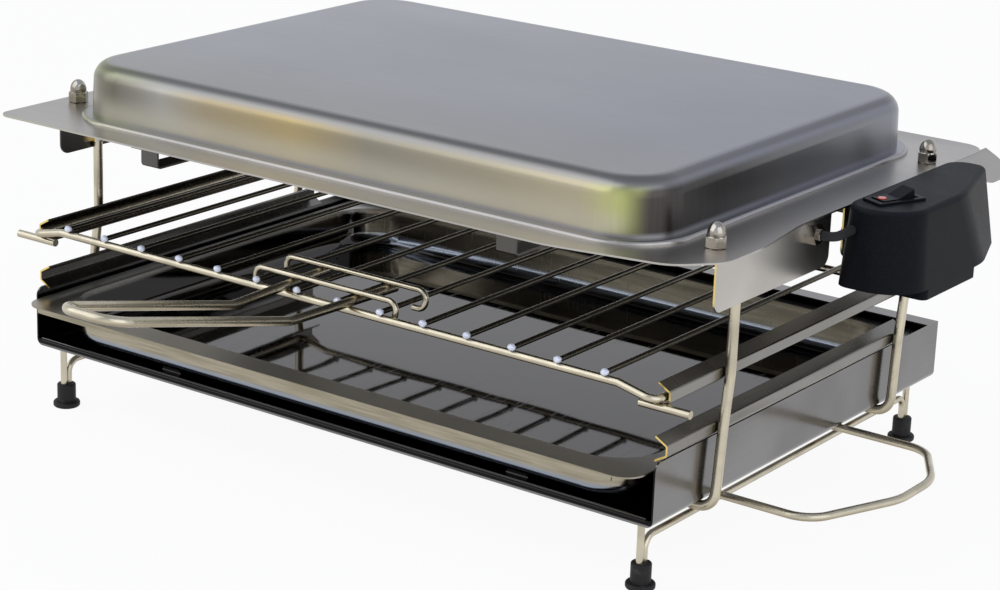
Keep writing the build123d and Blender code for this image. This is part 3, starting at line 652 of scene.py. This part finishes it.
class RoasterSizes(bpy.types.PropertyGroup):
    """Sizes of the fine pieces."""

    nut_flats: bpy.props.FloatProperty(
        name="Nut width", description="Width across the flats of an acorn nut", unit="LENGTH",
        min=0.005, max=0.02, default=0.01,
    )
    nut_hexagon: bpy.props.FloatProperty(
        name="Hexagon height", description="Height of the nut's hexagon", unit="LENGTH",
        min=0.003, max=0.01, default=0.006,
    )
    cap_width: bpy.props.FloatProperty(
        name="Cap width", description="Width of the nut's dome", unit="LENGTH",
        min=0.004, max=0.015, default=0.0094,
    )
    weld_width: bpy.props.FloatProperty(
        name="Weld width", description="Width of a spot weld on the rack", unit="LENGTH",
        min=0.001, max=0.006, default=0.0046,
    )


class RoasterStudio(bpy.types.PropertyGroup):
    """Floor and light of the studio."""

    floor_reach: bpy.props.FloatProperty(
        name="Floor reach", description="Half the side of the floor", unit="LENGTH",
        min=2.0, max=40.0, default=20.0,
    )
    key_power: bpy.props.FloatProperty(
        name="Key lamp", description="Power of the large soft lamp", unit="POWER",
        min=0.0, max=500.0, default=34.0,
    )
    fill_power: bpy.props.FloatProperty(
        name="Fill lamp", description="Power of the lamp at the right", unit="POWER",
        min=0.0, max=500.0, default=14.0,
    )


class ROASTER_OT_hood(bpy.types.Operator):
    """Finishes the stamped hood"""

    bl_idname = "roaster.hood"
    bl_label = "Hood"

    def execute(self, context):
        dress(hood_finish(context.scene.roaster_finishes), "hood")
        return {"FINISHED"}


class ROASTER_OT_sheets(bpy.types.Operator):
    """Finishes the end plates, straps, rails and element hangers"""

    bl_idname = "roaster.sheets"
    bl_label = "Plates and rails"

    def execute(self, context):
        colour = tuple(context.scene.roaster_finishes.plate_colour)
        plate = sheet_metal("plate_steel", colour, 0.3, SHORT_IN_X, edge=EDGE_GOLD_REFLECTION)
        rail = sheet_metal(
            "rail_steel", shade(colour, 0.5), 0.24, (0.03, 1.0, 0.4), edge=EDGE_GOLD_REFLECTION
        )
        # painted shade: a darkened copy of the plate steel for the left end plates and element
        # hangers
        dark = sheet_metal("shaded_plate_steel", shade(colour, 0.22), 0.3, SHORT_IN_X)
        dress(plate, "end_plate_front_right", "end_plate_rear_right", "post_straps")
        dress(dark, "end_plate_front_left", "end_plate_rear_left", "element_supports")
        dress(rail, "upper_rail_left", "upper_rail_right")
        dress(rail, "lower_rail_left", "lower_rail_right")
        return {"FINISHED"}


class ROASTER_OT_base(bpy.types.Operator):
    """Finishes the base housing"""

    bl_idname = "roaster.base"
    bl_label = "Base"

    def execute(self, context):
        dress(base_finish(context.scene.roaster_finishes), "base_housing")
        return {"FINISHED"}


class ROASTER_OT_tray(bpy.types.Operator):
    """Finishes the drip tray"""

    bl_idname = "roaster.tray"
    bl_label = "Drip tray"

    def execute(self, context):
        dress(tray_finish(context.scene.roaster_finishes), "drip_tray")
        return {"FINISHED"}


class ROASTER_OT_wires(bpy.types.Operator):
    """Plates all bent wires and adds the spot welds of the rack"""

    bl_idname = "roaster.wires"
    bl_label = "Wires and welds"

    def execute(self, context):
        look = context.scene.roaster_finishes
        width = context.scene.roaster_sizes.weld_width
        colour = tuple(look.wire_colour)
        wire = plated_wire("nickel_wire", colour, look.wire_roughness)
        # painted shade: the rack rods get the plating darkened to a quarter
        painted_shade_rods = plated_wire("rod_nickel_painted_shade", shade(colour, 0.24), look.wire_roughness)
        dress(wire, "front_frame", "rear_frame", "left_foot_runner", "right_foot_runner")
        dress(wire, "leg_wires", "side_loop", "rack_frame", "rack_stops")
        dress(wire, "handle_grip", "handle_clips")
        dress(painted_shade_rods, "rack_rods")
        chance = random.Random(5)
        mesh = bmesh.new()
        sunk = 0.8 * MM
        raised = 0.3 * MM
        radii = (width / 2, width * 0.42, width * 0.42)
        uneven = 0.16
        for low, high in solid_islands("rack_rods"):
            middle = (low + high) / 2
            for y in (low.y + sunk, high.y - sunk):
                spot = Vector((middle.x, y, middle.z + raised))
                bead(mesh, spot, radii, uneven, chance)
        settle(mesh, "rack_welds", weld_finish(), "rack")
        return {"FINISHED"}


class ROASTER_OT_fixings(bpy.types.Operator):
    """Builds the acorn nuts and finishes bolts, screws and ferrules"""

    bl_idname = "roaster.fixings"
    bl_label = "Nuts and screws"

    def execute(self, context):
        sizes = context.scene.roaster_sizes
        chrome = chrome_finish()
        flats = sizes.nut_flats
        cap = sizes.cap_width / 2
        top = sizes.nut_hexagon
        corner = flats / math.sqrt(3)
        low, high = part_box("acorn_nuts")
        height = high.z - low.z
        chamfer = 0.8 * MM
        break_edge = 0.3 * MM
        collar = 1.2 * MM
        dome = height - top - collar
        rings = [
            (0.0, flats * 0.48, True),
            (0.35 * MM, corner * 0.96, True),
            (chamfer, corner, True),
            (top - chamfer, corner, True),
            (top - break_edge, corner * 0.95, True),
            (top, flats * 0.485, True),
            (top + 0.05 * MM, cap * 0.97, False),
            (top + collar, cap, False),
        ]
        bands = 8
        for step in range(1, bands + 1):
            turn = math.pi / 2 * step / (bands + 0.5)
            level = top + collar + dome * math.sin(turn)
            rings.append((level, cap * math.cos(turn), False))
        mesh = bmesh.new()
        for island_low, island_high in solid_islands("acorn_nuts"):
            middle = (island_low + island_high) / 2
            turned(mesh, Vector((middle.x, middle.y, low.z)), rings, flats)
        nuts = settle(mesh, "dome_nuts", chrome, "root")
        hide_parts("acorn_nuts")
        dress(chrome, "acorn_nuts", "hood_bolts", "rocker_pin")
        dress(chrome, "element_ferrules", "element_nuts", "element_pins")
        dress(chrome, "box_spacers", "box_screws", "box_nuts", "lid_screws")
        brass = sheet_metal("brass_screws", (0.7, 0.52, 0.24), 0.3)
        dress(brass, "strip_screws")
        return {"FINISHED"}


class ROASTER_OT_element(bpy.types.Operator):
    """Finishes the heating element and its sleeve"""

    bl_idname = "roaster.element"
    bl_label = "Heating element"

    def execute(self, context):
        dress(element_finish(), "heating_element")
        dress(braided_sleeve(), "lead_sleeve", "box_leads")
        return {"FINISHED"}


class ROASTER_OT_switch_box(bpy.types.Operator):
    """Finishes the switch box, its rocker and the red lens"""

    bl_idname = "roaster.switch_box"
    bl_label = "Switch box"

    def execute(self, context):
        look = context.scene.roaster_finishes
        colour = tuple(look.cover_colour)
        cover = moulded_plastic("cover_plastic", colour, 0.46, 0.0007, 0.00006)
        switch = moulded_plastic("switch_plastic", shade(colour, 0.8), 0.34, 0.0005, 0.00002)
        pale = moulded_plastic("terminal_plastic", (0.62, 0.6, 0.55), 0.5, 0.0007, 0.00004)
        dress(cover, "control_box", "box_lid")
        dress(switch, "switch_body", "rocker")
        dress(pale, "terminal_strip")
        dress(lens_finish(look), "rocker_lens")
        return {"FINISHED"}


class ROASTER_OT_rubber(bpy.types.Operator):
    """Finishes the feet, bumpers and bush"""

    bl_idname = "roaster.rubber"
    bl_label = "Rubber parts"

    def execute(self, context):
        rubber = soft_rubber(context.scene.roaster_finishes)
        dress(rubber, "rubber_feet", "rear_bumpers", "cord_bush")
        return {"FINISHED"}


def lamp(name, spot, size, power, colour):
    """Adds a square soft lamp that looks at the roaster."""
    data = bpy.data.lights.new(name, "AREA")
    data.size = size
    data.energy = power
    data.color = colour
    made = bpy.data.objects.new(name, data)
    made.location = spot
    sight = Vector(LAMP_AIM) - Vector(spot)
    made.rotation_euler = sight.to_track_quat("-Z", "Y").to_euler()
    bpy.context.scene.collection.objects.link(made)


def seen_rays(paint):
    """1 for rays from the camera and in mirrors and glass, otherwise 0."""
    kinds = ("Is Camera Ray", "Is Glossy Ray", "Is Transmission Ray")
    camera, glossy, glass = [paint.node("ShaderNodeLightPath", out=kind) for kind in kinds]
    return camera.math("MAXIMUM", camera.math("MAXIMUM", camera, glossy), glass)


class ROASTER_OT_stage(bpy.types.Operator):
    """Sets up floor, light and camera"""

    bl_idname = "roaster.stage"
    bl_label = "Studio"

    def execute(self, context):
        scene = context.scene
        studio = scene.roaster_studio
        reach = studio.floor_reach
        mesh = bmesh.new()
        bmesh.ops.create_grid(mesh, x_segments=2, y_segments=2, size=reach)
        data = bpy.data.meshes.new("floor")
        mesh.to_mesh(data)
        mesh.free()
        floor = bpy.data.objects.new("floor", data)
        scene.collection.objects.link(floor)
        paint = Paint("floor_white")
        paint.finish(base_color=(0.86, 0.86, 0.86), roughness=0.9)
        glow = paint.tree.nodes.new("ShaderNodeEmission")
        glow.inputs["Color"].default_value = (1.0, 1.0, 1.0, 1.0)
        join = paint.tree.nodes.new("ShaderNodeMixShader")
        paint.tree.links.new((seen_rays(paint) * FLOOR_GLOW).socket, join.inputs[0])
        paint.tree.links.new(paint.shader.outputs[0], join.inputs[1])
        paint.tree.links.new(glow.outputs[0], join.inputs[2])
        paint.tree.links.new(join.outputs[0], paint.output.inputs[0])
        data.materials.append(paint.material)
        world = bpy.data.worlds.new("studio")
        scene.world = world
        world.use_nodes = True
        tree = world.node_tree
        tree.nodes.clear()
        spot = tree.nodes.new("ShaderNodeTexCoord")
        parts = tree.nodes.new("ShaderNodeSeparateXYZ")
        ramp = tree.nodes.new("ShaderNodeValToRGB")
        back = tree.nodes.new("ShaderNodeBackground")
        out = tree.nodes.new("ShaderNodeOutputWorld")
        stops = ramp.color_ramp.elements
        stops.remove(stops[1])
        for index, (height, colour) in enumerate(SKY_STOPS):
            stop = stops[0] if index == 0 else stops.new(height)
            stop.position = height
            stop.color = colour
        tree.links.new(spot.outputs["Generated"], parts.inputs[0])
        tree.links.new(parts.outputs["Z"], ramp.inputs[0])
        tree.links.new(ramp.outputs[0], back.inputs["Color"])
        tree.links.new(back.outputs[0], out.inputs[0])
        lamp("key_lamp", KEY_SPOT, KEY_SIZE, studio.key_power, (1.0, 0.99, 0.97))
        lamp("fill_lamp", FILL_SPOT, FILL_SIZE, studio.fill_power, (0.95, 0.97, 1.0))
        scene.view_settings.view_transform = "Standard"
        data = bpy.data.cameras.new("camera")
        data.lens = LENS_LENGTH
        data.sensor_width = SENSOR_WIDTH
        data.sensor_fit = "HORIZONTAL"
        data.clip_start = 0.05
        data.clip_end = 100.0
        camera = bpy.data.objects.new("camera", data)
        turn = Matrix((CAMERA_RIGHT, CAMERA_UP, CAMERA_BEHIND)).transposed().to_4x4()
        camera.matrix_world = Matrix.Translation(CAMERA_SPOT) @ turn
        scene.collection.objects.link(camera)
        scene.camera = camera
        return {"FINISHED"}


STEPS = (
    ROASTER_OT_stage,
    ROASTER_OT_hood,
    ROASTER_OT_sheets,
    ROASTER_OT_base,
    ROASTER_OT_tray,
    ROASTER_OT_wires,
    ROASTER_OT_fixings,
    ROASTER_OT_element,
    ROASTER_OT_switch_box,
    ROASTER_OT_rubber,
)
GROUPS = (
    ("roaster_finishes", RoasterFinishes),
    ("roaster_sizes", RoasterSizes),
    ("roaster_studio", RoasterStudio),
)


class ROASTER_PT_panel(bpy.types.Panel):
    """Lists the roaster's steps and settings"""

    bl_idname = "ROASTER_PT_panel"
    bl_label = "Fish Roaster"
    bl_space_type = "VIEW_3D"
    bl_region_type = "UI"
    bl_category = "Roaster"

    def draw(self, context):
        for step in STEPS:
            self.layout.operator(step.bl_idname)
        for name, group in GROUPS:
            box = self.layout.box()
            for key in group.__annotations__:
                box.prop(getattr(context.scene, name), key)


def register():
    for name, group in GROUPS:
        bpy.utils.register_class(group)
        setattr(bpy.types.Scene, name, bpy.props.PointerProperty(type=group))
    for step in (*STEPS, ROASTER_PT_panel):
        bpy.utils.register_class(step)


def unregister():
    for step in (*STEPS, ROASTER_PT_panel):
        bpy.utils.unregister_class(step)
    for name, group in GROUPS:
        delattr(bpy.types.Scene, name)
        bpy.utils.unregister_class(group)


def main():
    register()
    for step in STEPS:
        family, name = step.bl_idname.split(".")
        getattr(getattr(bpy.ops, family), name)()


if __name__ == "__main__":
    main()
